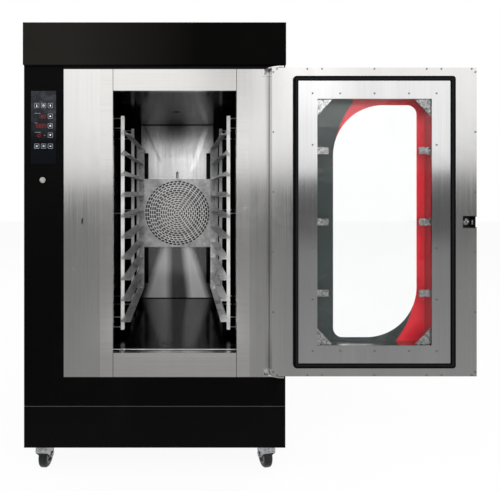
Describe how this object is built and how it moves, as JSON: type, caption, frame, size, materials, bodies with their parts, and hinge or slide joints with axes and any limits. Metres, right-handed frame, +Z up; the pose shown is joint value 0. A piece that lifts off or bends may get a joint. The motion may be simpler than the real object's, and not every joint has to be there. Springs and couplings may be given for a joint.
{
  "type": "convection oven",
  "caption": "Bakery convection oven on swivel casters with glazed side-hinged door open, tray racks, slotted fan guard and touch control column.",
  "frame": {"origin": "on the floor, under the middle of the bounding box with the door open", "axes": "+X to the right of someone facing the oven, +Y to its back, +Z up"},
  "size_m": [1.7756, 1.3412, 1.8185],
  "materials": {
    "casing": "satin black powder coat",
    "frame_tube": "mill finish square tube",
    "front_steel": "fine brushed stainless steel",
    "cavity_steel": "bright rolled stainless steel",
    "rack_steel": "bright stainless steel",
    "mineral_wool": "mineral wool slab",
    "heater_steel": "heat darkened sheath",
    "fan_steel": "plain stainless steel",
    "motor_casting": "painted casting",
    "pipe_steel": "plain stainless steel",
    "hinge_steel": "plain stainless steel",
    "bushing": "plain bearing bronze",
    "seal": "soft silicone",
    "pane": "tempered glass",
    "pane_print": "ceramic print on the glass",
    "latch_plastic": "fine grained",
    "handle_metal": "satin chrome",
    "panel_glass": "dark printed front",
    "circuit": "solder mask",
    "button_metal": "turned stainless steel",
    "caster_steel": "bright zinc plate",
    "caster_wheel": "dark tyre on a grey hub"
  },
  "bodies": {
    "oven_body": {"chassis_frame": "frame_tube", "skirt": "casing", "header_fascia": "casing", "control_column": "casing", "right_column": "casing", "lower_front_panel": "casing", "front_frame": "front_steel", "left_side_panel": "casing", "right_side_panel": "casing", "rear_panel": "casing", "roof_panel": "casing", "cavity_left_wall": "cavity_steel", "cavity_right_wall": "cavity_steel", "cavity_ceiling": "cavity_steel", "cavity_floor": "cavity_steel", "cavity_rear_wall": "cavity_steel", "insulation": "mineral_wool", "fan_panel": "cavity_steel", "fan_guard": "cavity_steel", "heating_elements": "heater_steel", "fan_motor": "motor_casting", "left_tray_rack": "rack_steel", "right_tray_rack": "rack_steel", "vent_pipe": "pipe_steel", "water_injector": "pipe_steel", "hinge_brackets": "hinge_steel", "control_glass": "panel_glass", "control_board": "circuit", "button_bezel": "button_metal", "caster_plates": "caster_steel"},
    "door": {"door_skin": "front_steel", "door_inner_panel": "front_steel", "window_frame": "front_steel", "door_gasket": "seal", "door_glass": "pane", "glass_print": "pane_print", "glass_clips": "hinge_steel", "door_screws": "hinge_steel", "hinge_bushes": "bushing", "latch_box": "latch_plastic"},
    "door_latch": {"door_handle": "handle_metal"},
    "fan_wheel": {"impeller": "fan_steel"},
    "power_push": {"power_button": "button_metal"},
    "key_top_left_push": {"key_top_left": "panel_glass"},
    "key_top_middle_push": {"key_top_middle": "panel_glass"},
    "key_top_right_push": {"key_top_right": "panel_glass"},
    "key_readout_upper_push": {"key_readout_upper": "panel_glass"},
    "key_readout_middle_push": {"key_readout_middle": "panel_glass"},
    "key_readout_lower_push": {"key_readout_lower": "panel_glass"},
    "key_bottom_left_push": {"key_bottom_left": "panel_glass"},
    "key_bottom_middle_push": {"key_bottom_middle": "panel_glass"},
    "key_bottom_right_push": {"key_bottom_right": "panel_glass"},
    "front_left_swivel": {"front_left_fork": "caster_steel"},
    "front_left_roll": {"front_left_wheel": "caster_wheel"},
    "front_right_swivel": {"front_right_fork": "caster_steel"},
    "front_right_roll": {"front_right_wheel": "caster_wheel"},
    "rear_left_swivel": {"rear_left_fork": "caster_steel"},
    "rear_left_roll": {"rear_left_wheel": "caster_wheel"},
    "rear_right_swivel": {"rear_right_fork": "caster_steel"},
    "rear_right_roll": {"rear_right_wheel": "caster_wheel"}
  },
  "joints": [
    {"name": "door_hinge", "type": "hinge", "parent": "oven_body", "child": "door", "pos_m": [0.10175, -0.6324, 1.02875], "axis": [0, 0, 1], "range_deg": [-180, 0]},
    {"name": "latch_turn", "type": "hinge", "parent": "door", "child": "door_latch", "pos_m": [0.85775, -0.6534, 1.02875], "axis": [0, 1, 0], "range_deg": [0, 90]},
    {"name": "fan_spin", "type": "hinge", "parent": "oven_body", "child": "fan_wheel", "pos_m": [-0.28475, 0.3666, 1.019], "axis": [0, 1, 0], "continuous": true},
    {"name": "power_press", "type": "slide", "parent": "oven_body", "child": "power_push", "axis": [0, 1, 0], "range_m": [0, 0.003], "stiffness_N_per_m": 800, "springref_m": -0.001},
    {"name": "key_top_left_press", "type": "slide", "parent": "oven_body", "child": "key_top_left_push", "axis": [0, 1, 0], "range_m": [0, 0.0008], "stiffness_N_per_m": 1500, "springref_m": -0.0004},
    {"name": "key_top_middle_press", "type": "slide", "parent": "oven_body", "child": "key_top_middle_push", "axis": [0, 1, 0], "range_m": [0, 0.0008], "stiffness_N_per_m": 1500, "springref_m": -0.0004},
    {"name": "key_top_right_press", "type": "slide", "parent": "oven_body", "child": "key_top_right_push", "axis": [0, 1, 0], "range_m": [0, 0.0008], "stiffness_N_per_m": 1500, "springref_m": -0.0004},
    {"name": "key_readout_upper_press", "type": "slide", "parent": "oven_body", "child": "key_readout_upper_push", "axis": [0, 1, 0], "range_m": [0, 0.0008], "stiffness_N_per_m": 1500, "springref_m": -0.0004},
    {"name": "key_readout_middle_press", "type": "slide", "parent": "oven_body", "child": "key_readout_middle_push", "axis": [0, 1, 0], "range_m": [0, 0.0008], "stiffness_N_per_m": 1500, "springref_m": -0.0004},
    {"name": "key_readout_lower_press", "type": "slide", "parent": "oven_body", "child": "key_readout_lower_push", "axis": [0, 1, 0], "range_m": [0, 0.0008], "stiffness_N_per_m": 1500, "springref_m": -0.0004},
    {"name": "key_bottom_left_press", "type": "slide", "parent": "oven_body", "child": "key_bottom_left_push", "axis": [0, 1, 0], "range_m": [0, 0.0008], "stiffness_N_per_m": 1500, "springref_m": -0.0004},
    {"name": "key_bottom_middle_press", "type": "slide", "parent": "oven_body", "child": "key_bottom_middle_push", "axis": [0, 1, 0], "range_m": [0, 0.0008], "stiffness_N_per_m": 1500, "springref_m": -0.0004},
    {"name": "key_bottom_right_press", "type": "slide", "parent": "oven_body", "child": "key_bottom_right_push", "axis": [0, 1, 0], "range_m": [0, 0.0008], "stiffness_N_per_m": 1500, "springref_m": -0.0004},
    {"name": "front_left_swivel_turn", "type": "hinge", "parent": "oven_body", "child": "front_left_swivel", "pos_m": [-0.82575, -0.5454, 0.128], "axis": [0, 0, 1], "continuous": true},
    {"name": "front_left_wheel_roll", "type": "hinge", "parent": "front_left_swivel", "child": "front_left_roll", "pos_m": [-0.82444, -0.52043, 0.05], "axis": [0.9986, -0.0523, 0], "continuous": true},
    {"name": "front_right_swivel_turn", "type": "hinge", "parent": "oven_body", "child": "front_right_swivel", "pos_m": [0.09575, -0.5454, 0.128], "axis": [0, 0, 1], "continuous": true},
    {"name": "front_right_wheel_roll", "type": "hinge", "parent": "front_right_swivel", "child": "front_right_roll", "pos_m": [0.09141, -0.52078, 0.05], "axis": [0.9848, 0.1736, 0], "continuous": true},
    {"name": "rear_left_swivel_turn", "type": "hinge", "parent": "oven_body", "child": "rear_left_swivel", "pos_m": [-0.82575, 0.5926, 0.128], "axis": [0, 0, 1], "continuous": true},
    {"name": "rear_left_wheel_roll", "type": "hinge", "parent": "rear_left_swivel", "child": "rear_left_roll", "pos_m": [-0.8172, 0.61609, 0.05], "axis": [0.9397, -0.342, 0], "continuous": true},
    {"name": "rear_right_swivel_turn", "type": "hinge", "parent": "oven_body", "child": "rear_right_swivel", "pos_m": [0.09575, 0.5926, 0.128], "axis": [0, 0, 1], "continuous": true},
    {"name": "rear_right_wheel_roll", "type": "hinge", "parent": "rear_right_swivel", "child": "rear_right_roll", "pos_m": [0.0872, 0.61609, 0.05], "axis": [0.9397, 0.342, 0], "continuous": true}
  ]
}
